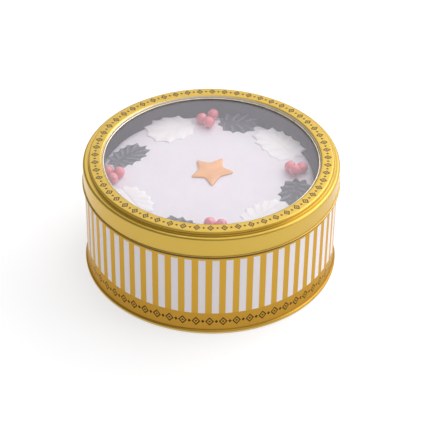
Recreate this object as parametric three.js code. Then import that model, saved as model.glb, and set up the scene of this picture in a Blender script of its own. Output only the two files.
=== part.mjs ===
// A small iced Christmas cake in its own round tin: a tin body, a slip lid with a clear window, and
// under the window the iced cake with a star, four sprays of holly leaves and three berries to each.
// Millimetres, +Z up. The origin is the centre of the tin's foot ring, on the surface it stands on,
// and -Y is the front. Every piece keeps a small clearance to what it rests on or in.
import * as THREE from 'three';

// ---- Tin -------------------------------------------------------------------------------------
const wallRadius = 87.5;        // outside of the straight wall
const sheet = 0.5;              // tinplate with its lacquer and print
const clearance = 0.35;         // between pieces that touch
const turnSteps = 72;           // flats round everything turned
const wallTop = 79.8;           // top of the body's rolled rim, hidden under the lid
const rimRoll = 1.5;            // how far the body's rim rolls inwards
const seamRadius = 88.9;        // the bottom seam's widest line
const seamHeight = 2.7;         // top of the bottom seam
const seamFoot = { inner: 86.2, outer: 88.2 }; // the flat ring that the tin stands on
const baseTop = 3.0;            // upper side of the base panel, which the cake stands on
const baseUnder = 2.4;          // underside of the base panel, recessed inside the seam

// ---- Lid -------------------------------------------------------------------------------------
const lidTop = 83.9;            // upper side of the flat ring
const ringInner = 74.85;        // where the ring's inner edge turns down
const ringInnerRound = 1.75;    // outside radius of that edge
const ringOuter = 84.45;        // where the ring's outer edge drops to the shoulder
const ringOuterRound = 1.25;    // outside radius of that edge
const lip = { radius: 73.5, height: 81.75 }; // free edge of the lip under the opening
const stepFoot = 80.9;          // bottom of the groove between ring and shoulder
const stepRound = 0.7;          // fillet in that groove
const shoulderHeight = 79.5;    // where the rounded shoulder meets the skirt
const shoulderRound = 1.5;      // radius of the shoulder
const skirtFoot = 66.75;        // centre of the curled edge at the bottom of the skirt
const curlRound = 0.4;          // radius of the curl's centre line

// ---- Window ----------------------------------------------------------------------------------
const windowRadius = 79;
const windowSheet = 0.5;

// ---- Cake ------------------------------------------------------------------------------------
const cakeRadius = 75;
const cakeCentre = { x: -3.0, y: -1.8 };     // it stands a little off the tin's centre
const icingTop = 68.2;
const icingShoulder = 5;        // the icing's rounded upper edge
const cakeFoot = 1.2;           // small round at the bottom edge
const toppingBase = icingTop + clearance;

// ---- Star ------------------------------------------------------------------------------------
const star = { x: 0, y: 2.9, notch: 8.9, thickness: 1.8, edge: 0.5, tipDrop: 0.9, tipSpread: 0.1 };
// It was cut by hand, so each tip has its own reach and its own way, in degrees from +X towards +Y.
const starTips = [
  { reach: 15.4, way: -6.3 },
  { reach: 16.4, way: 62.9 },
  { reach: 15.3, way: 130.7 },
  { reach: 15.3, way: 208.3 },
  { reach: 17.2, way: 272.3 },
];

// ---- Leaves ----------------------------------------------------------------------------------
const leafSheet = 0.9;
const leafBluntness = 2.4;      // exponent of the leaf's rounded outline, where 2 is an ellipse
const edgeSteps = 48;           // points that draw that outline before its teeth are cut
const toothDepth = 0.15;        // how far the notches cut in, as a share of the way to the centre
const pleat = 0.55;             // height of the fold that runs out to each tooth
const leafRings = [0.14, 0.55, 1]; // shares of the way from the midrib to the toothed edge
const midribReach = 0.35;       // power of those shares along the midrib, so the rings stay long

// Each spray has three berries between a dark leaf and a white leaf. Places are leaf centres and
// berry centres, and a berry's third number is how far it sits up on the stalks of the leaves. turn
// is the way a leaf's tip points, from +X towards +Y, and teeth counts those on each side. lift is how
// far the leaf's sides curl up, rear is how far its tip does, and a taper above 0 narrows the tip.
const sprays = [
  {
    name: 'back',
    dark: { x: 19.1, y: 61.9, turn: -8, length: 29, width: 23.5, teeth: 5, lift: 2.2, rear: 0.6, taper: 0 },
    white: { x: -29.6, y: 52.2, turn: 201, length: 39, width: 27, teeth: 5, lift: 3.0, rear: 1.6, taper: 0 },
    berries: [[-7.2, 62.4, 0], [0.9, 67.7, 0], [-2.1, 56.2, 1.3]],
  },
  {
    name: 'right',
    dark: { x: 58.0, y: -20.2, turn: -100, length: 32, width: 22, teeth: 5, lift: 3.0, rear: 0.8, taper: 0 },
    white: { x: 45.7, y: 36.6, turn: 129, length: 44, width: 27, teeth: 6, lift: 2.2, rear: 2.6, taper: 0 },
    berries: [[54.7, 4.9, 0], [57.7, -2.1, 2.2], [62.7, 3.8, 0]],
  },
  {
    name: 'front',
    dark: { x: -21, y: -62.6, turn: -22, length: 30, width: 21, teeth: 5, lift: 2.4, rear: 0.6, taper: 0.1 },
    white: { x: 33.0, y: -46.6, turn: 37, length: 37, width: 25, teeth: 6, lift: 2.6, rear: 2.4, taper: 0.2 },
    berries: [[-0.7, -59.7, 0], [7.0, -61.4, 0], [1.6, -67.3, 0]],
  },
  {
    name: 'left',
    dark: { x: -58.2, y: 20.5, turn: 47, length: 35, width: 20.5, teeth: 6, lift: 2.2, rear: 1, taper: 0 },
    white: { x: -53.2, y: -32.5, turn: -60, length: 37, width: 26, teeth: 6, lift: 2.4, rear: 1.4, taper: 0 },
    berries: [[-63.6, -4.2, 0], [-71.4, -3.4, 0], [-67.7, -11.1, 0]],
  },
];
const berryRadius = 3.75;
const berryFlats = { round: 10, tall: 7 };

// ---- Colours ---------------------------------------------------------------------------------
const goldPaint = new THREE.Color(0xcba545);
const lidPaint = new THREE.Color(0xd6ae52);
const icingWhite = new THREE.Color(0xeae5ee);
const starPeach = new THREE.Color(0xf0a060);
const leafGreen = new THREE.Color(0x3a4a40);
const leafWhite = new THREE.Color(0xf1ecf0);
const berryRed = new THREE.Color(0xd0485a);
const clearFilm = new THREE.Color(0xf4f6fa);

const point = (r, z) => new THREE.Vector2(r, z);

// Points on an arc, from one angle to another in degrees, both ends included.
function arc(r, z, radius, from, to, steps) {
  const points = [];
  for (let i = 0; i <= steps; i += 1) {
    const angle = THREE.MathUtils.degToRad(from + (to - from) * i / steps);
    points.push(point(r + radius * Math.cos(angle), z + radius * Math.sin(angle)));
  }
  return points;
}

// A solid of revolution about +Z from a profile of (radius, height) points, anticlockwise.
function turned(profile, steps = turnSteps) {
  const geometry = new THREE.LatheGeometry(profile, steps);
  geometry.rotateX(Math.PI / 2);
  return geometry;
}

// The closed section of bent sheet: the centre line moved half a thickness to each side.
function sheetSection(line, thickness) {
  const sides = line.map((here, i) => {
    const back = here.clone().sub(line[Math.max(i - 1, 0)]).normalize();
    const ahead = line[Math.min(i + 1, line.length - 1)].clone().sub(here).normalize();
    const along = back.clone().add(ahead).normalize();
    const normal = point(-along.y, along.x);
    const reach = thickness / 2 / Math.max(normal.dot(point(-ahead.y, ahead.x)) || 1, 0.7);
    return { left: here.clone().addScaledVector(normal, reach),
      right: here.clone().addScaledVector(normal, -reach) };
  });
  const outline = [...sides.map((side) => side.right), ...sides.map((side) => side.left).reverse()];
  return [...outline, outline[0].clone()];
}

// Tin body: recessed base panel, seam with a flat foot, straight wall, rim rolled inwards.
function tinBody() {
  const inside = wallRadius - sheet;
  const rimRound = 0.6;
  const seamRound = 0.7;
  return turned([
    point(0, baseUnder),
    point(seamFoot.inner - 1.0, baseUnder),
    point(seamFoot.inner - 0.3, 0.4),
    point(seamFoot.inner, 0),
    point(seamFoot.outer, 0),
    ...arc(seamRadius - seamRound, seamRound, seamRound, -45, 0, 1),
    point(seamRadius, seamHeight - seamRound),
    point(seamRadius - 0.5, seamHeight - 0.15),
    point(wallRadius, seamHeight + 0.3),
    ...arc(wallRadius - rimRound, wallTop - rimRound, rimRound, 0, 90, 2),
    point(wallRadius - rimRoll, wallTop),
    point(wallRadius - rimRoll - 0.3, wallTop - 0.6),
    point(wallRadius - rimRoll, wallTop - 1.2),
    point(inside, wallTop - 1.6),
    point(inside, baseTop + 0.9),
    point(inside - 0.9, baseTop),
    point(0, baseTop),
  ]);
}

// Slip lid, bent from one sheet: lip, turned-down inner edge, flat ring, step, shoulder, skirt, curl.
function tinLid() {
  const half = sheet / 2;
  const innerRound = ringInnerRound - half;
  const outerRound = ringOuterRound - half;
  const ring = lidTop - half;
  const stepWall = ringOuter - half;
  const skirt = wallRadius + clearance + half;
  const line = [
    point(lip.radius, lip.height),
    ...arc(ringInner + half + innerRound, ring - innerRound, innerRound, 180, 90, 3),
    ...arc(stepWall - outerRound, ring - outerRound, outerRound, 90, 0, 3),
    ...arc(stepWall + stepRound, stepFoot + stepRound, stepRound, 180, 270, 1),
    ...arc(skirt - shoulderRound, shoulderHeight, shoulderRound, 110, 0, 4),
    ...arc(skirt + curlRound, skirtFoot, curlRound, 180, 390, 4),
  ];
  return turned(sheetSection(line, sheet));
}

// Clear disc under the lid's lip.
function lidWindow() {
  const top = lip.height - sheet / 2 - clearance;
  return turned([
    point(0, top - windowSheet),
    point(windowRadius, top - windowSheet),
    point(windowRadius, top),
    point(0, top),
  ]);
}

// The cake under its icing: one solid with a rounded upper edge.
function icedCake() {
  const foot = baseTop + clearance;
  return turned([
    point(0, foot),
    point(cakeRadius - cakeFoot, foot),
    point(cakeRadius, foot + cakeFoot),
    ...arc(cakeRadius - icingShoulder, icingTop - icingShoulder, icingShoulder, 0, 90, 4),
    point(0, icingTop),
  ]);
}

// Five-pointed star with blunt tips and soft edges. A notch lies halfway between two tips.
function starSolid() {
  const outline = [];
  const add = (radius, angle) => outline.push(point(radius * Math.cos(angle), radius * Math.sin(angle)));
  starTips.forEach((tip, i) => {
    const way = THREE.MathUtils.degToRad(tip.way);
    const next = THREE.MathUtils.degToRad(starTips[(i + 1) % starTips.length].way);
    const ahead = i + 1 < starTips.length ? next : next + 2 * Math.PI;
    add(tip.reach - star.tipDrop, way - star.tipSpread);
    add(tip.reach, way);
    add(tip.reach - star.tipDrop, way + star.tipSpread);
    add(star.notch, (way + ahead) / 2);
  });
  const geometry = new THREE.ExtrudeGeometry(new THREE.Shape(outline), {
    depth: star.thickness - 2 * star.edge,
    bevelThickness: star.edge, bevelSize: star.edge, bevelOffset: -star.edge, bevelSegments: 2,
  });
  geometry.translate(0, 0, star.edge);
  return geometry;
}

// The toothed edge of a leaf: even steps round a blunt oval, from the tip, with a tooth at every even
// step and a notch cut in at every odd one.
function leafEdge(leaf) {
  const oval = [];
  for (let i = 0; i < edgeSteps; i += 1) {
    const angle = 2 * Math.PI * i / edgeSteps;
    const along = Math.cos(angle);
    const across = Math.sin(angle);
    const blunted = Math.abs(along) ** leafBluntness + Math.abs(across) ** leafBluntness;
    const reach = blunted ** (-1 / leafBluntness);
    const narrowed = across * (1 - leaf.taper * along);
    oval.push(new THREE.Vector3(reach * along * leaf.length / 2, reach * narrowed * leaf.width / 2, 0));
  }
  const edge = new THREE.CatmullRomCurve3(oval, true).getSpacedPoints(2 * (2 * leaf.teeth + 1));
  edge.pop();
  edge.forEach((spot, i) => spot.multiplyScalar(i % 2 === 0 ? 1 : 1 - toothDepth));
  return edge;
}

// Upper side of a leaf: its centre, then rings that widen from the midrib to the toothed edge.
function leafTop(leaf, edge) {
  const raise = (x, y) => leaf.lift * (2 * y / leaf.width) ** 2 + leaf.rear * (x / leaf.length + 0.5) ** 2;
  const tops = [new THREE.Vector3(0, 0, raise(0, 0))];
  for (const share of leafRings) {
    edge.forEach((spot, i) => {
      const x = spot.x * share ** midribReach;
      const y = spot.y * share;
      const fold = (i % 2 === 0 ? pleat : -pleat) * share;
      tops.push(new THREE.Vector3(x, y, raise(x, y) + fold));
    });
  }
  return tops;
}

// A holly leaf: a thin wavy sheet with toothed sides. Both faces carry the same triangles.
function leafSolid(leaf) {
  const edge = leafEdge(leaf);
  const tops = leafTop(leaf, edge);
  const lowest = Math.min(...tops.map((top) => top.z));
  const positions = [];
  for (const drop of [0, leafSheet]) {
    for (const top of tops) positions.push(top.x, top.y, top.z - lowest + leafSheet - drop);
  }
  const under = tops.length;
  const faces = [];
  const both = (a, b, c) => faces.push(a, b, c, under + a, under + c, under + b);
  const at = (ring, i) => 1 + ring * edge.length + i % edge.length;
  const rim = leafRings.length - 1;
  for (let i = 0; i < edge.length; i += 1) {
    both(0, at(0, i), at(0, i + 1));
    for (let ring = 0; ring < rim; ring += 1) {
      both(at(ring, i), at(ring + 1, i), at(ring + 1, i + 1));
      both(at(ring, i), at(ring + 1, i + 1), at(ring, i + 1));
    }
    const [a, b] = [at(rim, i), at(rim, i + 1)];
    faces.push(a, under + a, under + b, a, under + b, b);
  }
  const geometry = new THREE.BufferGeometry();
  geometry.setAttribute('position', new THREE.Float32BufferAttribute(positions, 3));
  geometry.setIndex(faces);
  return geometry;
}

function berryBall() {
  const geometry = new THREE.SphereGeometry(berryRadius, berryFlats.round, berryFlats.tall);
  geometry.rotateX(Math.PI / 2);
  return geometry;
}

function piece(name, geometry, color, roughness, metalness, extra = {}) {
  const material = new THREE.MeshStandardMaterial({ color, roughness, metalness, ...extra });
  const mesh = new THREE.Mesh(geometry, material);
  mesh.name = name;
  return mesh;
}

function leafPiece(spray, kind, color) {
  const leaf = spray[kind];
  const mesh = piece(`leaf_${kind}_${spray.name}`, leafSolid(leaf), color, 0.6, 0);
  mesh.position.set(leaf.x, leaf.y, toppingBase);
  mesh.rotation.z = THREE.MathUtils.degToRad(leaf.turn);
  return mesh;
}

// One spray: its dark leaf, its white leaf and its three berries.
function spray(plan) {
  const group = new THREE.Group();
  group.add(leafPiece(plan, 'dark', leafGreen));
  group.add(leafPiece(plan, 'white', leafWhite));
  plan.berries.forEach(([x, y, rise], index) => {
    const berry = piece(`berry_${plan.name}_${index + 1}`, berryBall(), berryRed, 0.35, 0);
    berry.position.set(x, y, toppingBase + berryRadius + rise);
    group.add(berry);
  });
  return group;
}

function cakeInTin() {
  const model = new THREE.Group();
  model.add(piece('tin_body', tinBody(), goldPaint, 0.35, 0.9));
  model.add(piece('tin_lid', tinLid(), lidPaint, 0.3, 0.95));
  model.add(piece('lid_window', lidWindow(), clearFilm, 0.05, 0, { transparent: true, opacity: 0.25 }));
  const cake = piece('iced_cake', icedCake(), icingWhite, 0.55, 0);
  cake.position.set(cakeCentre.x, cakeCentre.y, 0);
  model.add(cake);
  const centrepiece = piece('icing_star', starSolid(), starPeach, 0.45, 0);
  centrepiece.position.set(star.x, star.y, toppingBase);
  model.add(centrepiece);
  for (const plan of sprays) model.add(spray(plan));
  return model;
}

export default cakeInTin();
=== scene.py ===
"""A round gold tin with a clear window in its lid, and inside it an iced and decorated Christmas cake.

The tin, lid, window, cake and every decoration are surfaces worked out as arrays. Lengths in the tables
are millimetres, and MM turns them into metres. Z is up, the front is -Y, and the tin stands on Z = 0.
"""
import math

import bpy
import numpy as np
from bpy.props import FloatProperty, FloatVectorProperty, IntProperty, PointerProperty
from mathutils import Matrix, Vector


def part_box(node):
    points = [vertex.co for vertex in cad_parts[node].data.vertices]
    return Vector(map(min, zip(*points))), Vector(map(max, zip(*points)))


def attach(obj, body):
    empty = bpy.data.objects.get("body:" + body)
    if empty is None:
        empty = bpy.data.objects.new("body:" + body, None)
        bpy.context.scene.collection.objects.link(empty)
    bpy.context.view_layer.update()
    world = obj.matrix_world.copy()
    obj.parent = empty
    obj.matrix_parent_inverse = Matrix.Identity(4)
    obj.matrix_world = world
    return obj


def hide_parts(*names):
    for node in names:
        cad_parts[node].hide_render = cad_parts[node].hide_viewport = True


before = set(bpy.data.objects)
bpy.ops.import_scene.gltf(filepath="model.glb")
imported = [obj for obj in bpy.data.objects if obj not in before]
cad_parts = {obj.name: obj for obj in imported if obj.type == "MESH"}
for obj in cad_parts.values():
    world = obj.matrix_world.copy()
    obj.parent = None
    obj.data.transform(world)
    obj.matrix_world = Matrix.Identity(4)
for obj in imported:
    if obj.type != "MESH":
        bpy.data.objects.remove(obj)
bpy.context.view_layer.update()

bl_info = {
    "name": "Iced cake in a windowed tin",
    "version": (1, 0, 0),
    "blender": (4, 5, 0),
    "location": "3D View > Sidebar > Cake tin",
    "description": "Builds a round gold tin with a clear-topped lid and an iced, decorated cake inside",
    "category": "Add Mesh",
}

MM = 0.001
BODY = "root"


def mm_box(node):
    """Lowest and highest corner of a node of the frame, in millimetres."""
    low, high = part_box(node)
    return np.array(low) / MM, np.array(high) / MM


TIN_HIGH = mm_box("tin_body")[1]
LID_LOW, LID_HIGH = mm_box("tin_lid")
WINDOW_LOW, WINDOW_HIGH = mm_box("lid_window")
CAKE_LOW, CAKE_HIGH = mm_box("iced_cake")
STAR_LOW, STAR_HIGH = mm_box("icing_star")


# ---- Settings that a user would change ----

def length(name, millimetres, about):
    """A length setting, given in millimetres and kept in metres."""
    return FloatProperty(name=name, description=about, default=millimetres * MM, min=0.0,
                         subtype="DISTANCE", unit="LENGTH", precision=5)


def share(name, value, about):
    """A setting between 0 and 1."""
    return FloatProperty(name=name, description=about, default=value, min=0.0, max=1.0, subtype="FACTOR")


def repeats(name, number, about):
    """A setting that counts what goes round the tin."""
    return IntProperty(name=name, description=about, default=number, min=8)


def colour(name, red, green, blue, about):
    """A colour setting, in linear light."""
    return FloatVectorProperty(name=name, description=about, default=(red, green, blue),
                               size=3, min=0.0, max=1.0, subtype="COLOR")


class TinSettings(bpy.types.PropertyGroup):
    wall_radius: length("Wall radius", 87.5, "Outside radius of the straight wall")
    sheet: length("Sheet", 0.5, "Thickness of the tinplate")
    stripe_low: length("Stripe foot", 17.3, "Height at which the stripes start")
    stripe_high: length("Stripe top", 62.6, "Height at which the stripes end")
    stripes: repeats("Stripes", 60, "White stripes round the tin")
    white_share: share("White share", 0.512, "Share of a stripe's pitch that is white")
    border_low: length("Lower border", 10.2, "Height of the middle of the lower border")
    border_motifs: repeats("Lower motifs", 60, "Lozenges round the foot")
    gold: colour("Gold", 0.55, 0.315, 0.035, "Gold lacquer of the stripes")
    # The band's deeper gold is partly print and partly painted shade, for the shadowed floor that it
    # reflects.
    deep_gold: colour("Deep gold", 0.49, 0.262, 0.026, "Gold lacquer of the band at the foot")
    white: colour("White", 0.80, 0.76, 0.80, "White ink of the stripes")
    # Ink paints the borders, and it also paints shade on the wall under the lid and on the lid's curled
    # foot.
    ink: colour("Ink", 0.060, 0.030, 0.006, "Dark see-through ink of the borders")
    # The seam's pale gold is a painted reflection of the bright floor.
    seam: colour("Seam", 0.66, 0.47, 0.14, "Pale gold of the rolled seam at the foot")
    plate: colour("Tinplate", 0.29, 0.25, 0.31, "Bare tinplate inside the tin")


class LidSettings(bpy.types.PropertyGroup):
    ring_inner: length("Opening edge", 74.85, "Radius at which the flat ring turns down to the window")
    ring_outer: length("Ring edge", 84.45, "Radius at which the flat ring drops to the shoulder")
    lip_radius: length("Lip radius", 73.5, "Free edge of the lip that holds the window")
    lip_height: length("Lip height", 81.75, "Height of the lip")
    groove: length("Groove", 80.9, "Height of the groove between ring and shoulder")
    border_radius: length("Border radius", 79.9, "Radius of the border on the flat ring")
    border_motifs: repeats("Ring motifs", 56, "Lozenges round the ring")
    gold: colour("Lid gold", 0.60, 0.395, 0.045, "Gold lacquer of the lid")
    bead: colour("Bead", 0.86, 0.77, 0.60, "Pale rolled edge round the window")
    haze: share("Haze", 0.085, "Share of the light that the window film scatters")
    haze_tint: colour("Haze tint", 0.96, 0.91, 1.0, "Colour of the light that the window film scatters")


class CakeSettings(bpy.types.PropertyGroup):
    shoulder: length("Shoulder", 5.0, "Radius of the icing's upper edge")
    icing_lift: length("Icing lift", 0.3, "How far the icing closes the gap to what stands on it")
    icing: colour("Icing", 0.845, 0.80, 0.85, "White sugar icing")
    star_x: FloatProperty(name="Star X", description="Middle of the star", default=0.0, unit="LENGTH")
    star_y: FloatProperty(name="Star Y", description="Middle of the star", default=2.9 * MM, unit="LENGTH")
    star_notch: length("Star notch", 8.9, "Radius of the star's notches")
    star: colour("Star", 0.94, 0.42, 0.10, "Peach gold sugar paste")
    dark_leaf: colour("Dark leaf", 0.078, 0.088, 0.100, "Dark green sugar paste")
    white_leaf: colour("White leaf", 0.98, 0.93, 0.93, "White sugar paste")
    berry: colour("Berry", 0.95, 0.21, 0.25, "Red sugar paste")


class StudioSettings(bpy.types.PropertyGroup):
    floor: colour("Floor", 0.52, 0.52, 0.52, "Pale floor")
    floor_glow: FloatProperty(name="Floor glow", description="Light the floor gives off by itself",
                              default=0.60, min=0.0)
    surroundings: FloatProperty(name="Surroundings", description="Brightness of the white room",
                                default=0.32, min=0.0)
    lens: FloatProperty(name="Lens", description="Focal length of the camera in millimetres", default=137.9,
                        unit="CAMERA")
    distance: FloatProperty(name="Distance", description="From the camera to its aim", default=1.1352,
                            unit="LENGTH")
    elevation: FloatProperty(name="Elevation", description="How far the camera looks down",
                             default=math.radians(37.35), subtype="ANGLE", unit="ROTATION")
    roll: FloatProperty(name="Roll", description="Turn of the camera about its view",
                        default=math.radians(0.672), subtype="ANGLE", unit="ROTATION")


class CakeTinSettings(bpy.types.PropertyGroup):
    tin: PointerProperty(type=TinSettings, name="Tin", description="The tin's body")
    lid: PointerProperty(type=LidSettings, name="Lid", description="The lid and its window")
    cake: PointerProperty(type=CakeSettings, name="Cake", description="The cake and its decorations")
    studio: PointerProperty(type=StudioSettings, name="Studio", description="Floor, lights and camera")


# ---- Profiles and surfaces ----

# Radius of the smallest ring round the middle of what is turned, in millimetres.
HUB = 1.0


def arc(radius_at, height_at, radius, start, end, steps=10):
    """Points on an arc about (radius_at, height_at): cosine and sine of evenly spaced angles in degrees."""
    angle = np.radians(np.linspace(start, end, steps))
    return np.stack([radius_at + radius * np.cos(angle), height_at + radius * np.sin(angle)], 1)


def evenly(line, longest):
    """The same line with points added on it, so that no stretch is much longer than longest.

    Positions along the line are its own corners and a regular comb, less the comb's points that fall
    close to a corner, and both coordinates are interpolated at all of them.
    """
    steps = np.linalg.norm(np.diff(line, axis=0), axis=1)
    along = np.concatenate([[0.0], np.cumsum(steps)])
    comb = np.linspace(0.0, along[-1], int(along[-1] / longest) + 2)
    nearest = np.abs(comb[:, None] - along[None, :]).min(1)
    every = np.sort(np.concatenate([along, comb[nearest > longest * 0.3]]))
    return np.stack([np.interp(every, along, line[:, 0]), np.interp(every, along, line[:, 1])], 1)


def bent_sheet(line, thickness):
    """Closed section of a bent sheet: the line moved half a thickness to either side along its normal."""
    along = np.gradient(line, axis=0)
    along /= np.linalg.norm(along, axis=1, keepdims=True)
    normal = np.stack([-along[:, 1], along[:, 0]], 1) * thickness / 2
    return np.concatenate([line - normal, (line + normal)[::-1]])


def turned(profile, columns):
    """Rings of a solid of revolution: each profile point (r, z) goes round as (r cos a, r sin a, z)."""
    angle = np.linspace(0.0, 2 * np.pi, columns, endpoint=False)
    radius, height = profile[:, 0, None], profile[:, 1, None]
    return np.stack([radius * np.cos(angle), radius * np.sin(angle), height + 0 * angle], 2)


def ripple(x, y, pitch, seed, waves=7):
    """Smooth uneven height between about -1 and 1.

    It is a sum of plane cosine waves, each with a seeded direction, phase and pitch, over 1.5 times the
    root of their number.
    """
    draw = np.random.default_rng(seed)
    heading = draw.uniform(0, 2 * np.pi, waves)
    phase = draw.uniform(0, 2 * np.pi, waves)
    pitches = pitch * draw.uniform(0.7, 1.6, waves)
    wave = 2 * np.pi / pitches
    height = np.zeros(np.broadcast(x, y).shape)
    for k in range(waves):
        height += np.cos(wave[k] * (x * np.cos(heading[k]) + y * np.sin(heading[k])) + phase[k])
    return height / math.sqrt(waves) / 1.5


def ring_faces(rings, points, joined):
    """Corner numbers of the quads between neighbouring rings, as whole arrays."""
    row = np.arange(rings if joined else rings - 1)[:, None]
    column = np.arange(points)[None, :]
    ahead, above = (column + 1) % points, (row + 1) % rings
    return np.stack([row * points + column, row * points + ahead,
                     above * points + ahead, above * points + column], 2).reshape(-1, 4)


def signed_volume(vertices, quads):
    """Volume inside the faces, below zero where they point inwards: a sum of tetrahedra on the origin."""
    a, b, c, d = (vertices[quads[:, k]] for k in range(4))
    first = np.einsum("ij,ij->i", a, np.cross(b, c))
    second = np.einsum("ij,ij->i", a, np.cross(c, d))
    return (first.sum() + second.sum()) / 6


def closed_skin(name, rings, materials, ring_material=None, joined=False, sharp=40, pattern=None):
    """One closed mesh from an array of rings, (rings, points, 3) in millimetres.

    Neighbouring rings are joined by quads. The end rings close to a point at their middle, or onto each
    other where joined. ring_material gives each ring's material number, and pattern each point's place
    on a flat pattern for the material, kept as the UV map of that name. Edges bent by more than sharp
    degrees look sharp.
    """
    rings = np.asarray(rings, float)
    count, points = rings.shape[:2]
    vertices = rings.reshape(-1, 3) * MM
    quads = ring_faces(count, points, joined)
    fans = np.zeros((0, 3), int)
    if not joined:
        vertices = np.concatenate([vertices, rings[[0, -1]].mean(1) * MM])
        column = np.arange(points)
        ahead = (column + 1) % points
        last, foot, head = (count - 1) * points, count * points, count * points + 1
        fans = np.concatenate([np.stack([ahead, column, column * 0 + foot], 1),
                               np.stack([last + column, last + ahead, column * 0 + head], 1)])
    if signed_volume(vertices - vertices.mean(0), quads) < 0:
        quads, fans = quads[:, ::-1], fans[:, ::-1]
    mesh = bpy.data.meshes.new(name)
    mesh.from_pydata(vertices, [], quads.tolist() + fans.tolist())
    if pattern is not None:
        flat = np.concatenate([pattern.reshape(-1, 2), pattern[[0, -1]].mean(1)])
        corners = np.concatenate([quads.reshape(-1), fans.reshape(-1)])
        mesh.uv_layers.new(name="pattern").uv.foreach_set("vector", flat[corners].reshape(-1))
    if ring_material is not None:
        numbers = np.repeat(np.asarray(ring_material)[: len(quads) // points], points)
        ends = np.repeat(np.asarray(ring_material)[[0, -1]], points)[: len(fans)]
        mesh.polygons.foreach_set("material_index", np.concatenate([numbers, ends]).astype(np.int32))
    for material in materials:
        mesh.materials.append(material)
    mesh.shade_smooth()
    mesh.set_sharp_from_angle(angle=math.radians(sharp))
    piece = bpy.data.objects.new(name, mesh)
    bpy.context.scene.collection.objects.link(piece)
    return piece


def dress(piece, node):
    """Puts a finished piece on the frame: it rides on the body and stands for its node."""
    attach(piece, BODY)
    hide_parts(node)
    return piece


# ---- Materials ----

class Signal:
    """A number in a material's node tree. Arithmetic on it adds Math nodes."""

    def __init__(self, paint, socket):
        self.paint = paint
        self.socket = socket

    def maths(self, operation, *values):
        return self.paint.maths(operation, *values)

    def __add__(self, other):
        return self.maths("ADD", self, other)

    __radd__ = __add__

    def __sub__(self, other):
        return self.maths("SUBTRACT", self, other)

    def __rsub__(self, other):
        return self.maths("SUBTRACT", other, self)

    def __mul__(self, other):
        return self.maths("MULTIPLY", self, other)

    __rmul__ = __mul__

    def __truediv__(self, other):
        return self.maths("DIVIDE", self, other)

    def __rtruediv__(self, other):
        return self.maths("DIVIDE", other, self)

    def __pow__(self, other):
        return self.maths("POWER", self, other)

    def __abs__(self):
        return self.maths("ABSOLUTE", self)


class Paint:
    """A material and its nodes. add makes any node, and the rest name the ones used most."""

    def __init__(self, name):
        self.material = bpy.data.materials.new(name)
        self.material.use_nodes = True
        self.nodes = self.material.node_tree.nodes
        self.links = self.material.node_tree.links
        self.nodes.clear()

    def add(self, kind, settings=None, values=None, output=0):
        """A node of that type: settings first, then its sockets' values or links. Gives one output."""
        node = self.nodes.new(kind)
        for setting, value in (settings or {}).items():
            setattr(node, setting, value)
        for socket, value in (values or {}).items():
            if isinstance(value, Signal):
                self.links.new(value.socket, node.inputs[socket])
            else:
                node.inputs[socket].default_value = value
        return Signal(self, node.outputs[output])

    def maths(self, operation, *values):
        """A Math node of that operation on numbers and signals."""
        return self.add("ShaderNodeMath", {"operation": operation}, dict(enumerate(values)))

    def place(self):
        """X, Y and Z on the piece, in millimetres."""
        spot = self.add("ShaderNodeTexCoord", output="Object")
        split = [self.add("ShaderNodeSeparateXYZ", values={0: spot}, output=axis) for axis in range(3)]
        return [axis / MM for axis in split]

    def vector(self, scale=(1, 1, 1)):
        """The place on the piece in millimetres, stretched by scale, as a vector for a texture."""
        spot = self.add("ShaderNodeTexCoord", output="Object")
        stretch = tuple(one / MM for one in scale)
        return self.add("ShaderNodeVectorMath", {"operation": "MULTIPLY"}, {0: spot, 1: stretch})

    def noise(self, pitch, detail=2.0, roughness=0.5, scale=(1, 1, 1)):
        """Noise from 0 to 1 whose lumps are about pitch millimetres across."""
        return self.add("ShaderNodeTexNoise", {"noise_dimensions": "3D"},
                        {"Vector": self.vector(scale), "Scale": 1.0 / pitch,
                         "Detail": detail, "Roughness": roughness})

    def rise(self, value, low, high):
        """0 below low, 1 above high, and a smooth step between."""
        return self.add("ShaderNodeMapRange", {"interpolation_type": "SMOOTHSTEP"},
                        {"Value": value, "From Min": low, "From Max": high})

    def spread(self, value, low, high):
        """A value from 0 to 1 moved to between low and high."""
        return value * (high - low) + low

    def mix(self, factor, first, second):
        """Colour mixed from first to second."""
        return self.add("ShaderNodeMix", {"data_type": "RGBA"},
                        {"Factor": factor, 6: self.tint(first), 7: self.tint(second)}, output=2)

    def tint(self, value):
        """A colour's three numbers with a fourth of 1, or a signal as it is."""
        return value if isinstance(value, Signal) else (*value, 1.0)

    def bump(self, height, distance, under=None):
        """Normal of a relief whose full height is distance millimetres, on top of the one under it."""
        values = {"Height": height, "Distance": distance * MM}
        if under is not None:
            values["Normal"] = under
        return self.add("ShaderNodeBump", values=values)

    def finish(self, shader):
        """Leads the shader to the material's output, and gives the material."""
        output = self.nodes.new("ShaderNodeOutputMaterial")
        self.links.new(shader.socket, output.inputs["Surface"])
        return self.material

    def plain(self, **sockets):
        """A Principled shader: keyword names are its sockets with _ for a space."""
        values = {name.replace("_", " "): value for name, value in sockets.items()}
        base = values.get("Base Color")
        if base is not None:
            values["Base Color"] = self.tint(base)
        return self.add("ShaderNodeBsdfPrincipled", values=values)


# A border's lozenges in millimetres: width, height, width of the drawn line and radius of the dot.
FOOT_LOZENGE = (6.0, 7.4, 0.56, 0.75)
RING_LOZENGE = (4.8, 5.7, 0.56, 0.64)
# The solid lozenge between two others, as a share of their size, and half the width of its soft edge.
SMALL_SHARE, SMALL_SOFT = 0.40, 0.04
# The brown that thin gold lacquer goes towards, and the colour of the shine on the print.
BROWN_GOLD = (0.25, 0.12, 0.01)
GOLD_SHINE = (1.0, 0.80, 0.45, 1.0)
# Angle in radians from the front to the first white stripe's edge.
FIRST_STRIPE = 0.0161


def toned(tint, amount):
    """A colour made darker or lighter: each of its numbers times amount."""
    return tuple(amount * one for one in tint)


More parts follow.
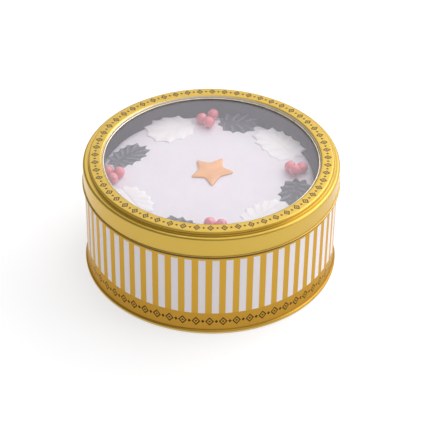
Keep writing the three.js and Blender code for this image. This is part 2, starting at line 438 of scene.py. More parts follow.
def turn_from_front(paint, x, y):
    """Share of a whole turn from the front towards +X: the angle of the point (-y, x) over two pi."""
    return paint.maths("ARCTAN2", x, 0 - y) / (2 * math.pi)


def clouded(paint, gold, cloud, depth):
    """Gold that goes the share depth of the way to brown gold where the cloud is 0."""
    return paint.mix(cloud, paint.mix(depth, gold, BROWN_GOLD), gold)


def lozenges(paint, turn, across, motifs, pitch, shape):
    """Mask of a border of open lozenges with a dot in each and a small solid lozenge between them.

    turn is the share of a whole turn, across the distance from the border's middle line, both signals;
    pitch is the width of one motif. A lozenge is where |x| / half width + |y| / half height is under 1.
    """
    width, height, stroke, dot = shape
    half_width, half_height = width / 2, height / 2
    cell = (paint.maths("FRACT", turn * motifs + 0.5) - 0.5) * pitch
    between = (paint.maths("FRACT", turn * motifs) - 0.5) * pitch
    inside = abs(cell) / half_width + abs(across) / half_height
    edge = stroke / half_width
    line = 1 - paint.rise(abs(inside - (1 - edge)), edge * 0.8, edge * 1.2)
    middle = paint.maths("SQRT", cell * cell + across * across)
    spot = 1 - paint.rise(middle, dot * 0.85, dot * 1.15)
    beside = abs(between) / half_width + abs(across) / half_height
    small = 1 - paint.rise(beside, SMALL_SHARE - SMALL_SOFT, SMALL_SHARE + SMALL_SOFT)
    return paint.maths("MAXIMUM", paint.maths("MAXIMUM", line, spot), small)


def lacquer(paint, base, metallic, roughness, relief, coat):
    """Printed and varnished tinplate: metal or ink under a clear coat, with a faint orange-peel relief."""
    peel = paint.bump(paint.noise(2.6, detail=1.0), relief)
    return paint.plain(Base_Color=base, Metallic=metallic, Roughness=roughness, IOR=1.5,
                       Specular_Tint=GOLD_SHINE, Coat_Weight=coat, Coat_Roughness=0.2,
                       Normal=peel)


def printed_tin(tin):
    """Outside of the wall: stripes, a band whose deeper gold is partly painted shade, with a border, a seam
    painted pale as a painted reflection of the bright floor, and a line of painted shade under the lid.

    A stripe's phase runs from 0 to 1 over its pitch, and it is white within half the white share of 0.5.
    Everything else is a range of heights with a smooth step at each end.
    """
    paint = Paint("printed_tinplate")
    x, y, z = paint.place()
    turn = turn_from_front(paint, x, y)
    first_edge = FIRST_STRIPE / (2 * math.pi)
    phase = paint.maths("FRACT", (turn - first_edge) * tin.stripes + 0.5 * (1 - tin.white_share))
    half_white, soft = tin.white_share / 2, 0.012
    stripe = 1 - paint.rise(abs(phase - 0.5), half_white - soft, half_white + soft)
    low, high, blur = tin.stripe_low / MM, tin.stripe_high / MM, 0.12
    above_band = paint.rise(z, low - blur, low + blur)
    band = 1 - above_band
    white = stripe * above_band * (1 - paint.rise(z, high - blur, high + blur))
    pitch = 2 * math.pi * tin.wall_radius / MM / tin.border_motifs
    ink = lozenges(paint, turn, z - tin.border_low / MM, tin.border_motifs, pitch, FOOT_LOZENGE) * band
    cloud = paint.noise(38)
    # The band at the foot: print, with its deeper gold partly painted shade.
    gold = paint.mix(band, tin.gold, tin.deep_gold)
    # Painted reflection: the seam's roll painted pale gold for the bright floor that it reflects.
    gold = paint.mix(1 - paint.rise(z, 1.3, 2.7), gold, tin.seam)
    base = paint.mix(white, clouded(paint, gold, cloud, 0.08), tin.white)
    base = paint.mix(ink, base, tin.ink)
    # Painted shade: the wall darkened with ink from just under the lid's foot upwards, where the lid shades
    # it.
    line = paint.rise(z, LID_LOW[2] - 2.3, LID_LOW[2] - 1.8)
    base = paint.mix(line * 0.9, base, tin.ink)
    scuff = paint.rise(paint.noise(1.1, detail=3.0, scale=(0.5, 0.5, 4.0)), 0.62, 0.8)
    roughness = paint.spread(white, 0.30, 0.42) + cloud * 0.06 + scuff * 0.05
    return paint.finish(lacquer(paint, base, 1 - white, roughness, 0.006, 0.22))


def gold_lid(lid, tin):
    """Outside of the lid: satin gold, a border on the flat ring, a pale inner edge and painted shade on the
    curl at its foot.
    """
    paint = Paint("gold_lacquer")
    x, y, z = paint.place()
    turn = turn_from_front(paint, x, y)
    radius = paint.maths("SQRT", x * x + y * y)
    middle = lid.border_radius / MM
    pitch = 2 * math.pi * middle / lid.border_motifs
    on_ring = paint.rise(z, LID_HIGH[2] - 0.4, LID_HIGH[2] - 0.2)
    ink = lozenges(paint, turn, radius - middle, lid.border_motifs, pitch, RING_LOZENGE) * on_ring
    # Painted shade: the curl at the lid's foot darkened with ink, for the shadow under it.
    foot = 1 - paint.rise(z, LID_LOW[2] + 0.4, LID_LOW[2] + 0.75)
    cloud = paint.noise(30)
    gold = clouded(paint, lid.gold, cloud, 0.07)
    edge = 1 - paint.rise(radius, lid.ring_inner / MM + 0.25, lid.ring_inner / MM + 0.7)
    base = paint.mix(edge, paint.mix(paint.maths("MAXIMUM", ink, foot), gold, tin.ink), lid.bead)
    scuff = paint.rise(paint.noise(0.9, detail=3.0), 0.63, 0.8)
    roughness = 0.31 + cloud * 0.06 + scuff * 0.05
    return paint.finish(lacquer(paint, base, 0.9 - edge * 0.5, roughness, 0.005, 0.8))


def pale_edge(lid):
    """Pale gold enamel with a metal shine on the rolled edge round the window."""
    paint = Paint("pale_enamel")
    cloud = paint.noise(12)
    base = paint.mix(cloud, toned(lid.bead, 0.93), lid.bead)
    return paint.finish(lacquer(paint, base, 0.55, 0.24 + cloud * 0.06, 0.004, 0.6))


def bare_plate(name, base, roughness):
    """Bare tinplate: grey metal with faint rolling lines round the tin."""
    paint = Paint(name)
    lines = paint.noise(0.7, detail=3.0, scale=(0.15, 0.15, 3.0))
    cloud = paint.noise(16)
    tint = paint.mix(cloud, toned(base, 0.88), base)
    rough = roughness + lines * 0.08 + cloud * 0.05
    return paint.finish(paint.plain(Base_Color=tint, Metallic=1.0, Roughness=rough,
                                    Normal=paint.bump(lines, 0.004)))


def clear_film(lid):
    """Window film: see-through with a slight milky haze, behind a share of mirror.

    The mirror's share is 0.022 where the film is faced and grows by the fifth power of the slant.
    """
    paint = Paint("clear_film")
    facing = paint.add("ShaderNodeLayerWeight", values={"Blend": 0.5}, output="Facing")
    shine = 0.022 + 0.95 * facing ** 5
    wave = paint.bump(paint.noise(45, detail=1.0), 0.03)
    clear = paint.add("ShaderNodeBsdfTransparent")
    milk = paint.add("ShaderNodeBsdfDiffuse", values={"Color": (*lid.haze_tint, 1.0)})
    haze = lid.haze * paint.spread(paint.noise(60, detail=1.0), 0.9, 1.1)
    sheet = paint.add("ShaderNodeMixShader", values={0: haze, 1: clear, 2: milk})
    gloss = paint.plain(Base_Color=(0.97, 0.965, 1.0), Metallic=1.0, Roughness=0.06, Normal=wave)
    return paint.finish(paint.add("ShaderNodeMixShader", values={0: shine, 1: sheet, 2: gloss}))


def sugar(name, base, deep, roughness, grain, glow, coat=0.0):
    """Sugar paste or icing: soft light inside it, faint clouds of a deeper tone and a fine dusty grain."""
    paint = Paint(name)
    cloud = paint.noise(9, detail=3.0)
    fine = paint.noise(0.55, detail=3.0, roughness=0.6)
    tint = paint.mix(paint.rise(cloud, 0.35, 0.7), deep, base)
    lumps = paint.bump(paint.noise(4.5), grain * 3)
    relief = paint.bump(fine, grain, under=lumps)
    rough = roughness + fine * 0.12
    return paint.finish(paint.plain(Base_Color=tint, Roughness=rough, Normal=relief, IOR=1.45,
                                    Subsurface_Weight=glow, Subsurface_Radius=(1.0, 0.6, 0.45),
                                    Subsurface_Scale=2.0 * MM, Coat_Weight=coat, Coat_Roughness=0.2))


def leaf_paste(name, base, deep, dust_and_highlight, roughness, glow):
    """Sugar leaf: paste with fine grain, lighter on the vein crests with dust and painted highlight, and
    darker with painted shade in the valleys and along the midrib.

    The flat pattern's first number is 0 on a vein and 1 in a valley, and its second is the distance from
    the midrib in centimetres.
    """
    paint = Paint(name)
    spot = paint.add("ShaderNodeUVMap", {"uv_map": "pattern"})
    gap = paint.add("ShaderNodeSeparateXYZ", values={0: spot}, output=0)
    aside = paint.add("ShaderNodeSeparateXYZ", values={0: spot}, output=1) * 10
    cloud = paint.noise(6, detail=3.0)
    fine = paint.noise(0.6, detail=3.0, roughness=0.6)
    outer = paint.rise(aside, 0.6, 3.0)
    rib = 1 - paint.rise(aside, 0.25, 0.9)
    # Painted shade in the valleys and along the midrib's groove.
    painted_shade = paint.maths("MAXIMUM", rib * 0.8, paint.rise(gap, 0.55, 1.0) * outer * 0.8)
    # The crests are lightened with dust and with painted highlight.
    crest = (1 - paint.rise(gap, 0.0, 0.45)) * outer
    tint = paint.mix(paint.rise(cloud, 0.3, 0.75) * 0.6 + 0.4, deep, base)
    tint = paint.mix(crest * paint.rise(cloud, 0.25, 0.6), tint, dust_and_highlight)
    tint = paint.mix(painted_shade, tint, deep)
    relief = paint.bump(fine, 0.05)
    return paint.finish(paint.plain(Base_Color=tint, Roughness=roughness + fine * 0.15, Normal=relief,
                                    IOR=1.45, Subsurface_Weight=glow,
                                    Subsurface_Radius=(1.0, 0.8, 0.7), Subsurface_Scale=1.2 * MM))


def pale_floor(studio):
    """Matt pale board, hardly clouded, that glows a little itself so that its shadows stay faint."""
    paint = Paint("pale_floor")
    cloud = paint.noise(140, detail=1.0)
    tint = paint.mix(cloud, toned(studio.floor, 0.985), studio.floor)
    return paint.finish(paint.plain(Base_Color=tint, Roughness=0.9, Specular_IOR_Level=0.0,
                                    Emission_Color=(1.0, 1.0, 1.0, 1.0),
                                    Emission_Strength=studio.floor_glow))


# ---- Tin ----

# Points round everything that is turned for the tin and its lid.
ROUND = 288


def build_tin(settings):
    """Tin body: one closed profile turned about Z, printed outside and bare inside and below.

    From the middle of the base's underside the profile runs out under the recessed base, round the rolled
    seam, up the wall, over the rolled rim, down inside and back over the base. A raised ring between the
    radii ring_in and ring_out stiffens the base.
    """
    tin = settings.tin
    wall, top, seam = tin.wall_radius / MM, TIN_HIGH[2], TIN_HIGH[0]
    inside = wall - tin.sheet / MM
    # Heights of the base below and above, and its raised ring: height, radii, and slopes below and above.
    under, over, raised = 2.4, 3.0, 0.3
    ring_in, ring_out, slope_under, slope_over = 71.0, 80.0, 1.0, 1.2
    # Radius at which the base ends, a corner on the seam's inner side, and the radius of the seam's toe.
    base_edge, seam_inside, toe_at = 84.9, [85.4, 1.6], 86.2
    # Heights at which the seam's straight side ends and the wall's begins.
    seam_side, wall_foot = 1.75, 4.18
    # How far in from the wall the rim's inner roll has its middle, and how far down it meets the wall.
    lip_in, lip_depth = 1.0, 1.9
    # Radii of the profile's bends, in the order in which it passes them.
    toe, heel, seam_top, cove, rim, lip, corner = 0.55, 1.1, 0.95, 1.85, 0.7, 0.75, 0.9
    # How far in over the rim the print goes, and the height above the floor at which it starts.
    print_in, print_low = 0.9, 0.4
    outer = np.concatenate([
        [[HUB, under], [ring_in - slope_under, under], [ring_in, under + raised]],
        [[ring_out, under + raised], [ring_out + slope_under, under], [base_edge, under], seam_inside],
        arc(toe_at, toe, toe, 190, 270),
        arc(seam - heel, heel, heel, 270, 360),
        arc(seam - seam_top, seam_side, seam_top, 0, 60),
        arc(wall + cove, wall_foot, cove, 240, 180),
        arc(wall - rim, top - rim, rim, 0, 90),
        arc(wall - lip_in, top - lip, lip, 90, 250),
    ])
    inner = np.concatenate([
        [[inside, top - lip_depth]],
        arc(inside - corner, over + corner, corner, 0, -90),
        [[ring_out + slope_over, over], [ring_out, over + raised]],
        [[ring_in, over + raised], [ring_in - slope_over, over], [HUB, over]],
    ])
    outer, inner = evenly(outer, 1.6), evenly(inner, 1.6)
    printed = (outer[:, 0] > wall - print_in) & (outer[:, 1] > print_low)
    look = np.concatenate([np.where(printed, 0, 1), np.ones(len(inner), int)])
    rings = turned(np.concatenate([outer, inner]), ROUND)
    plate = bare_plate("bare_tinplate", tin.plate, 0.3)
    piece = closed_skin("tin_wall", rings, [printed_tin(tin), plate], look)
    return dress(piece, "tin_body")


def build_lid(settings):
    """Slip lid: one bent sheet turned about Z, from the rolled edge by the window to the curled foot.

    The skirt is a slip wider than the wall, and its curl droops a little below its solid. The section's
    first half is the sheet's underside, which is bare metal down to just above the curl.
    """
    lid, tin = settings.lid, settings.tin
    sheet, slip, droop = tin.sheet / MM, 0.35, 0.35
    half = sheet / 2
    ring, groove = LID_HIGH[2] - half, lid.groove / MM
    inner, outer = lid.ring_inner / MM + half, lid.ring_outer / MM - half
    skirt = tin.wall_radius / MM + slip + half
    curl = (LID_HIGH[0] - skirt - half) / 2
    foot = LID_LOW[2] + half + curl - droop
    # Heights of the sheet's edge by the window and of the shoulder's middle, and where bare metal ends.
    edge_height, shoulder_height, above_curl = 82.1, 79.5, 1.2
    # Radii of the bends from the window out to the skirt.
    inner_bend, outer_bend, cove, shoulder = 1.45, 1.0, 0.7, 1.5
    line = np.concatenate([
        [[inner, edge_height]],
        arc(inner + inner_bend, ring - inner_bend, inner_bend, 180, 90),
        arc(outer - outer_bend, ring - outer_bend, outer_bend, 90, 0),
        arc(outer + cove, groove + cove, cove, 180, 270),
        arc(skirt - shoulder, shoulder_height, shoulder, 105, 0, 16),
        arc(skirt + curl, foot, curl, 180, 458, 18),
    ])
    section = bent_sheet(evenly(line, 1.2), sheet)
    underside = np.arange(len(section)) < len(section) // 2
    bare = underside & (section[:, 1] >= foot + above_curl)
    looks = [gold_lid(lid, tin), bare_plate("bare_tinplate_under_lid", tin.plate, 0.35)]
    shell = closed_skin("lid_shell", turned(section, ROUND), looks, bare.astype(int), joined=True)
    dress(shell, "tin_lid")
    return build_bead(lid)


def build_bead(lid):
    """Pale bead round the window: the lip's edge rolled up and over, of thin sheet turned about Z.

    The roll's middle lies just outside the lip's free edge, and the flat part runs out from the roll.
    """
    height, roll, sheet = lid.lip_height / MM, 0.38, 0.2
    roll_at, flat_from, flat_to = lid.lip_radius / MM + 0.68, 1.0, 2.8
    line = np.concatenate([
        [[roll_at + flat_to, height - roll], [roll_at + flat_from, height - roll]],
        arc(roll_at, height, roll, 270, -10, 18),
    ])
    section = bent_sheet(evenly(line, 0.3), sheet)
    piece = closed_skin("window_bead", turned(section, ROUND), [pale_edge(lid)], joined=True)
    return dress(piece, "tin_lid")


def build_window(settings):
    """Clear film: a thin disc with a softened rim under the lid's lip."""
    low, high, radius = WINDOW_LOW[2], WINDOW_HIGH[2], WINDOW_HIGH[0]
    half = (high - low) / 2
    profile = evenly(np.concatenate([
        [[HUB, low]],
        arc(radius - half, low + half, half, -90, 90, 7),
        [[HUB, high]],
    ]), 6.0)
    piece = closed_skin("window_film", turned(profile, 144), [clear_film(settings.lid)])
    return dress(piece, "lid_window")


# ---- Cake ----

def build_cake(settings):
    """Iced cake: a turned profile with a soft shoulder, uneven as hand-laid icing is.

    Towards the side the icing is drawn in by draw_in (1 + wave), with wave a ripple from -1 to 1. The top
    waves as well, and from sag_from outwards it sags by the square of the way to its edge.
    """
    cake = settings.cake
    radius = (CAKE_HIGH[0] - CAKE_LOW[0]) / 2
    centre = (CAKE_HIGH + CAKE_LOW) / 2
    top, foot = CAKE_HIGH[2] + cake.icing_lift / MM, CAKE_LOW[2]
    shoulder, foot_bend = cake.shoulder / MM, 1.2
    # The middle that keeps its shape, how far the side is drawn in, and how high the top waves.
    calm, draw_in, top_wave = 30, 0.45, 0.10
    # How far the top's edge sags, from which radius, over which way, and how deep the top reaches.
    sag_depth, sag_from, sag_way, top_deep = 0.45, 62, 13, 8
    profile = evenly(np.concatenate([
        [[HUB, foot]],
        arc(radius - foot_bend, foot + foot_bend, foot_bend, -90, 0, 6),
        arc(radius - shoulder, top - shoulder, shoulder, 0, 90, 18),
        [[HUB, top]],
    ]), 2.0)
    rings = turned(profile, 240)
    x, y, z = rings[..., 0], rings[..., 1], rings[..., 2]
    out = np.hypot(x, y)
    side = np.clip((out - calm) / (radius - calm), 0, 1) ** 3
    wave = ripple(x + 3 * z, y - 2 * z, 34, seed=4)
    pull = 1 - side * (draw_in + draw_in * wave) / radius
    rings = np.stack([x * pull + centre[0], y * pull + centre[1], z], 2)
    upper = np.clip((z - top + top_deep) / top_deep, 0, 1)
    sag = sag_depth * np.clip((out - sag_from) / sag_way, 0, 1) ** 2
    rings[..., 2] += upper * (top_wave * ripple(x, y, 26, seed=9) - sag)
    paste = sugar("white_icing", cake.icing, toned(cake.icing, 0.965), 0.42, 0.03, 0.5)
    piece = closed_skin("icing_skin", rings, [paste])
    return dress(piece, "iced_cake")


# How far each of the star's hand-cut tips reaches from its middle, and the way it points in degrees.
STAR_TIPS = np.array([[16.1, -6.3], [17.1, 62.9], [16.0, 130.7], [16.0, 208.3], [17.9, 272.3]])
# How many points to either side the star's outline is blurred over, and how fast their weight falls.
STAR_BLUR, STAR_BLUR_WIDTH = 16, 7.0


def star_outline(notch, points=400):
    """Five straight-sided tips with a notch halfway between two, blurred along the outline.

    Each point becomes the mean of its neighbours, weighed by exp(-(offset / width) ** 2), which softens
    the corners.
    """
    reach, way = STAR_TIPS[:, 0], np.radians(STAR_TIPS[:, 1])
    between = (way + np.append(way[1:], way[0] + 2 * np.pi)) / 2
    knots = np.stack([way, between], 1).reshape(-1)
    radii = np.stack([reach, 0 * reach + notch], 1).reshape(-1)
    knots, radii = np.append(knots, knots[0]), np.append(radii, radii[0])
    step = np.linspace(0, len(knots) - 1, points, endpoint=False)
    outline = np.stack([np.interp(step, np.arange(len(knots)), radii * np.cos(knots)),
                        np.interp(step, np.arange(len(knots)), radii * np.sin(knots))], 1)
    offsets = np.arange(-STAR_BLUR, STAR_BLUR + 1)
    weights = np.exp(-(offsets / STAR_BLUR_WIDTH) ** 2)
    rolled = np.stack([np.roll(outline, offset, 0) for offset in offsets])
    return np.tensordot(weights / weights.sum(), rolled, 1)


def build_star(settings):
    """Star: its outline drawn in towards the middle up a rounded edge, and domed and dented a little.

    drawn is each ring's share of the outline. It is 0.92 + 0.08 cos a on the edge, whose height is
    0.36 (1 + sin a) of the thickness, and the top's height is 1 - 0.3 drawn ** 2.5 of it.
    """
    cake = settings.cake
    outline = star_outline(cake.star_notch / MM)
    base = CAKE_HIGH[2] + cake.icing_lift / MM - 0.05
    thick = STAR_HIGH[2] - STAR_LOW[2]
    edge = np.radians(np.linspace(-90, 90, 15))
    top = np.linspace(0.9, 0.04, 14)
    drawn = np.concatenate([[0.04, 0.5, 0.85], 0.92 + 0.08 * np.cos(edge), top])
    height = np.concatenate([[0, 0, 0], thick * 0.36 * (1 + np.sin(edge)), thick * (1 - 0.3 * top ** 2.5)])
    rings = np.zeros((len(drawn), len(outline), 3))
    rings[..., :2] = outline[None] * drawn[:, None, None]
    rings[..., 2] = height[:, None] + base
    dents = 0.12 * ripple(rings[..., 0], rings[..., 1], 9, seed=21)
    rings[..., 2] += dents * (height[:, None] > thick * 0.7)
    rings[..., :2] += (cake.star_x / MM, cake.star_y / MM)
    paste = sugar("peach_star_paste", cake.star, toned(cake.star, 0.86), 0.32, 0.05, 0.2, coat=0.7)
    piece = closed_skin("star_topper", rings, [paste])
    return dress(piece, "icing_star")


# Each leaf's middle x and y, the way its tip points in degrees, its length, width and teeth a side, how
# far its sides curl up, how far its tip does, how much the tip narrows and how blunt the outline is.
LEAVES = {
    "dark_back": (19.1, 61.9, -8, 30, 25.5, 5, 2.2, 0.6, 0, 2.4),
    "white_back": (-29.4, 53.8, 207, 38.8, 31.5, 5, 3.0, 1.6, -0.08, 2.4),
    "dark_right": (57.3, -19.8, -106, 32, 22.5, 5, 3.0, 0.8, 0, 2.4),
    "white_right": (47.2, 36.6, 128, 43, 28, 6, 0.6, 7.0, 0.1, 3.0),
    "dark_front": (-21.0, -60.6, -22, 30.5, 23.0, 5, 4.0, 0.6, 0.1, 2.4),
    "white_front": (36.6, -44.6, 43, 39, 25.5, 6, 2.6, 7.0, 0.1, 2.4),
    "dark_left": (-58.2, 20.5, 47, 35.5, 21, 6, 2.2, 1.0, 0, 2.4),
    "white_left": (-53.2, -32.5, -60, 37.5, 26.5, 6, 2.4, 1.4, 0, 2.4),
}
# Depth of a notch as a share of the way out, and how far the edge folds up at a tooth.
TOOTH_DEPTH = {"dark": 0.17, "white": 0.13}
PLEAT = {"dark": 0.30, "white": 0.14}
# The share of each curl that a leaf on flat icing keeps.
CURL_KEPT = 0.25
# How far the veins lean towards the tip, as a share of the leaf's length.
VEIN_LEAN = 0.15
# Height of the rim as a share of the full height there, so low that it sinks into the icing.
RIM = 0.2


def leaf_outline(long, wide, narrow, blunt, points=288):
    """Points at even steps along an oval from its tip round, and how far along each one is.

    The oval is |x / a| ** blunt + |y / b| ** blunt = 1, with y times 1 - narrow x / a.
    """
    turn = np.linspace(0, 2 * np.pi, 1441)
    along, across = np.cos(turn), np.sin(turn)
    reach = (np.abs(along) ** blunt + np.abs(across) ** blunt) ** (-1 / blunt)
    x, y = reach * along * long / 2, reach * across * (1 - narrow * along) * wide / 2
    gone = np.concatenate([[0], np.cumsum(np.hypot(np.diff(x), np.diff(y)))])
    even = np.linspace(0, gone[-1], points, endpoint=False)
    return np.interp(even, gone, x), np.interp(even, gone, y), even / gone[-1]


def leaf_rings(name, base):
    """Rings of a holly leaf from its midrib out to the toothed edge and back underneath, and their pattern.

    With p the way from the midrib out (0 to 1), the outline (u, v) becomes (u p ** 0.35, v p), drawn
    towards the stem by VEIN_LEAN (1 - p) of the length, so that the veins lean forward. Teeth are
    sharp and notches round: gap is 0 at a tooth and 1 in a notch, and the edge is cut in by
    depth (1 - (1 - gap) ** 2). The height is a curl of the sides v squared, a rise of the tip u squared,
    a fold up to each tooth 1 - 2 gap ** 3, a groove along the midrib and a ripple. Its lowest point is
    put at 0.7 mm, and all of it is multiplied by 1 at the midrib down to RIM at the edge above, and from
    there to 0 below.
    """
    x_at, y_at, turn, long, wide, teeth, lift, rear, narrow, blunt = LEAVES[name]
    kind, seed = name.split("_")[0], sum(map(ord, name))
    x, y, gone = leaf_outline(long, wide, narrow, blunt)
    uneven = ripple(x / long * 9, y / wide * 9, 5, seed)
    phase = gone * (2 * teeth + 1) + 0.09 * uneven
    gap = 2 * np.abs((phase + 0.5) % 1.0 - 0.5)
    cut = 1 - TOOTH_DEPTH[kind] * (1 + 0.3 * uneven) * (1 - (1 - gap) ** 2)
    slope = np.linspace(0.012, np.pi - 0.012, 43)[:, None]
    out = np.sin(slope)
    u, v = x * cut * out ** 0.35 - VEIN_LEAN * long * (1 - out), y * cut * out
    height = CURL_KEPT * (lift * (2 * v / wide) ** 2 + rear * (u / long + 0.5) ** 2)
    height += PLEAT[kind] * (1 - 2 * gap ** 3) * out
    height -= 0.3 * np.exp(-(v / 0.7) ** 2) * np.clip(1 - (2 * u / long) ** 4, 0, 1)
    height += 0.25 * ripple(u, v, 15, seed + 5)
    bulge = np.abs(np.cos(slope)) ** 0.6
    full = np.where(np.cos(slope) > 0, RIM + (1 - RIM) * bulge, RIM * (1 - bulge))
    height = (height - height.min() + 0.7) * full
    angle = math.radians(turn)
    rings = np.stack([x_at + u * math.cos(angle) - v * math.sin(angle),
                      y_at + u * math.sin(angle) + v * math.cos(angle), height + base], 2)
    return rings, np.stack([gap + 0 * out, np.abs(v) / 10], 2)


def build_leaves(settings):
    """Eight holly leaves, four dark and four white, each over its own node."""
    cake = settings.cake
    base = CAKE_HIGH[2] + cake.icing_lift / MM - 0.5
    dark, white = cake.dark_leaf, cake.white_leaf
    # Dark leaves: the deep tone paints shade in the valleys, and the lighter tone is dust and painted
    # highlight on the crests.
    looks = {"dark": leaf_paste("dark_leaf_paste", dark, toned(dark, 0.4), toned(dark, 2.5), 0.42, 0.02),
             "white": leaf_paste("white_leaf_paste", white, toned(white, 0.92), white, 0.5, 0.35)}
    for name in LEAVES:
        kind = name.split("_")[0]
        rings, pattern = leaf_rings(name, base)
        piece = closed_skin(f"holly_{name}", rings, [looks[kind]], sharp=70, pattern=pattern)
        dress(piece, f"leaf_{name}")


# How much larger a berry looks than its plain solid.
BERRY_SWELL = 1.08


def build_berries(settings):
    """Twelve berries: balls whose radius has a seeded ripple added, sunk a little into the icing."""
    cake = settings.cake
    paste = sugar("red_berry_paste", cake.berry, toned(cake.berry, 0.8), 0.26, 0.04, 0.12, coat=0.9)
    down = np.linspace(0.02, np.pi - 0.02, 33)[:, None]
    around = np.linspace(0, 2 * np.pi, 48, endpoint=False)[None, :]
    out = np.sin(down)
    x, y, z = out * np.cos(around), out * np.sin(around), -np.cos(down) + 0 * around
    for node in sorted(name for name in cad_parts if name.startswith("berry_")):
        low, high = mm_box(node)
        radius = BERRY_SWELL * (high[2] - low[2]) / 2
        uneven = 0.12 * ripple(x * 9 + z * 5, y * 9 - z * 4, 9, seed=sum(map(ord, node)))
        rings = np.stack([x, y, z], 2) * (radius + uneven)[..., None] + (low + high) / 2
        rings[..., 2] -= cake.icing_lift / MM / 2
        dress(closed_skin(node.replace("berry", "holly_berry"), rings, [paste]), node)


# ---- Studio ----

# Soft panels: degrees from the front towards +X and above the floor, then distance, width and height in
# metres, then brightness.
PANELS = {
    "back_panel": (172, 40, 1.7, 1.9, 1.1, 0.80),
    "back_right_panel": (150, 38, 1.6, 0.7, 0.9, 1.4),
    "top_panel": (90, 84, 1.6, 1.7, 1.5, 0.82),
    "right_panel": (101, 34, 1.5, 1.6, 1.2, 1.76),
    "front_panel": (25, 50, 1.7, 1.2, 1.0, 0.25),
}
# Up, leaning so little to the back that a panel overhead still has a way up.
UPWARDS = np.array([0.0, 0.01, 1.0])
# Watts that a square metre of panel gives at brightness 1.
PANEL_WATTS = 4.0
# The point the camera looks at in metres, how far the picture is shifted as a share of its width, and the
# width of the camera's sensor in millimetres.
CAMERA_AIM = np.array([0.0, 0.0, 0.04375])
FRAME_SHIFT = (0.0013, -0.0213)
SENSOR_WIDTH = 36.0


def aimed(towards):
    """Rotation whose -Z looks along towards, with Y as near to straight up as it can be."""
    back = -towards / np.linalg.norm(towards)
    right = np.cross(UPWARDS, back)
    right /= np.linalg.norm(right)
    return Matrix(np.stack([right, np.cross(back, right), back], 1).tolist()).to_4x4()


def build_studio(settings):
    """Pale floor, white room, soft panels and the camera at the photograph's angle."""
    studio = settings.studio
    build_floor(studio)
    build_room(studio)
    for name, measures in PANELS.items():
        build_panel(name, *measures)
    build_camera(studio)


def build_floor(studio):
    """Floor: a wide thin disc with its upper face on Z = 0."""
    hub, reach, thick = 0.01, 8.0, 0.01
    profile = np.array([[hub, 0.0], [3.0, 0.0], [reach, 0.0], [reach, -thick], [hub, -thick]])
    closed_skin("floor", turned(profile / MM, 96), [pale_floor(studio)])


def build_room(studio):
    """White surroundings that light everything evenly."""
    world = bpy.data.worlds.new("white_room")
    world.use_nodes = True
    background = world.node_tree.nodes["Background"].inputs
    background["Color"].default_value = (0.985, 0.985, 1.0, 1.0)
    background["Strength"].default_value = studio.surroundings
    bpy.context.scene.world = world


def build_panel(name, azimuth, elevation, distance, width, height, brightness):
    """Soft panel that the camera doesn't see, aimed at the middle of the tin."""
    a, e = math.radians(azimuth), math.radians(elevation)
    way = np.array([math.sin(a) * math.cos(e), -math.cos(a) * math.cos(e), math.sin(e)])
    middle = np.array([0.0, 0.0, LID_HIGH[2] * MM / 2])
    light = bpy.data.lights.new(name, "AREA")
    light.shape = "RECTANGLE"
    light.size, light.size_y = width, height
    light.energy = PANEL_WATTS * brightness * width * height
    lamp = bpy.data.objects.new(name, light)
    lamp.matrix_world = Matrix.Translation(middle + way * distance) @ aimed(-way)
    lamp.visible_camera = False
    bpy.context.scene.collection.objects.link(lamp)


def build_camera(studio):
    """Camera on a long lens: behind its aim along the view, turned by its roll, shifted to the framing."""
    e, roll = studio.elevation, studio.roll
    back = np.array([0.0, -math.cos(e), math.sin(e)])
    right, up = np.array([1.0, 0.0, 0.0]), np.array([0.0, math.sin(e), math.cos(e)])
    rolled_right = right * math.cos(roll) + up * math.sin(roll)
    rolled_up = up * math.cos(roll) - right * math.sin(roll)
    camera = bpy.data.objects.new("camera", bpy.data.cameras.new("camera"))
    camera.data.sensor_width = SENSOR_WIDTH
    camera.data.lens = studio.lens
    camera.data.shift_x, camera.data.shift_y = FRAME_SHIFT
    turn = Matrix(np.stack([rolled_right, rolled_up, back], 1).tolist()).to_4x4()
    camera.matrix_world = Matrix.Translation(CAMERA_AIM + back * studio.distance) @ turn
    bpy.context.scene.collection.objects.link(camera)
    bpy.context.scene.camera = camera
    bpy.context.scene.view_settings.view_transform = "Standard"


# ---- Operators and panel ----

class BuildOperator:
    """What every build button shares: it makes its pieces from the scene's settings."""

    bl_options = {"REGISTER", "UNDO"}

    def execute(self, context):
        type(self).build(context.scene.cake_tin)
        return {"FINISHED"}


class CAKETIN_OT_tin(BuildOperator, bpy.types.Operator):
    """Build the striped tin body"""

    bl_idname = "cake_tin.tin"
    bl_label = "Tin body"
    build = staticmethod(build_tin)


class CAKETIN_OT_lid(BuildOperator, bpy.types.Operator):
    """Build the gold lid and the pale bead round its opening"""

    bl_idname = "cake_tin.lid"
    bl_label = "Lid"
    build = staticmethod(build_lid)


class CAKETIN_OT_window(BuildOperator, bpy.types.Operator):
    """Build the clear window"""

    bl_idname = "cake_tin.window"
    bl_label = "Window"
    build = staticmethod(build_window)


class CAKETIN_OT_cake(BuildOperator, bpy.types.Operator):
    """Build the iced cake"""

    bl_idname = "cake_tin.cake"
    bl_label = "Iced cake"
    build = staticmethod(build_cake)


class CAKETIN_OT_star(BuildOperator, bpy.types.Operator):
    """Build the star in the middle"""

    bl_idname = "cake_tin.star"
    bl_label = "Star"
    build = staticmethod(build_star)


class CAKETIN_OT_leaves(BuildOperator, bpy.types.Operator):
    """Build the dark and the white holly leaves"""

    bl_idname = "cake_tin.leaves"
    bl_label = "Holly leaves"
    build = staticmethod(build_leaves)


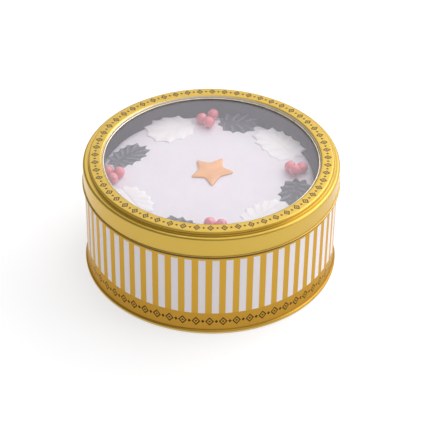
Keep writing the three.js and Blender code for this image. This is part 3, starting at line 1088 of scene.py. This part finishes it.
class CAKETIN_OT_berries(BuildOperator, bpy.types.Operator):
    """Build the berries of each spray"""

    bl_idname = "cake_tin.berries"
    bl_label = "Berries"
    build = staticmethod(build_berries)


class CAKETIN_OT_studio(BuildOperator, bpy.types.Operator):
    """Build the floor, the lights and the camera"""

    bl_idname = "cake_tin.studio"
    bl_label = "Studio"
    build = staticmethod(build_studio)


BUILDERS = (CAKETIN_OT_tin, CAKETIN_OT_lid, CAKETIN_OT_window, CAKETIN_OT_cake,
            CAKETIN_OT_star, CAKETIN_OT_leaves, CAKETIN_OT_berries, CAKETIN_OT_studio)


class CAKETIN_PT_sidebar(bpy.types.Panel):
    """Buttons and settings of the cake tin"""

    bl_label = "Cake tin"
    bl_idname = "CAKETIN_PT_sidebar"
    bl_space_type = "VIEW_3D"
    bl_region_type = "UI"
    bl_category = "Cake tin"

    def draw(self, context):
        settings = context.scene.cake_tin
        for group in (settings.tin, settings.lid, settings.cake, settings.studio):
            box = self.layout.box()
            for name in group.bl_rna.properties.keys():
                if name not in {"rna_type", "name"}:
                    box.prop(group, name)
        for builder in BUILDERS:
            self.layout.operator(builder.bl_idname)


CLASSES = (TinSettings, LidSettings, CakeSettings, StudioSettings, CakeTinSettings,
           *BUILDERS, CAKETIN_PT_sidebar)


def register():
    """Makes the classes and the scene's settings known to Blender."""
    for item in CLASSES:
        bpy.utils.register_class(item)
    bpy.types.Scene.cake_tin = PointerProperty(type=CakeTinSettings, name="Cake tin",
                                               description="Sizes, colours and studio of the cake tin")


def unregister():
    """Takes the settings and the classes away again."""
    del bpy.types.Scene.cake_tin
    for item in reversed(CLASSES):
        bpy.utils.unregister_class(item)


def main():
    """Builds the studio and every piece."""
    register()
    bpy.ops.cake_tin.studio()
    bpy.ops.cake_tin.tin()
    bpy.ops.cake_tin.lid()
    bpy.ops.cake_tin.window()
    bpy.ops.cake_tin.cake()
    bpy.ops.cake_tin.star()
    bpy.ops.cake_tin.leaves()
    bpy.ops.cake_tin.berries()


if __name__ == "__main__":
    main()
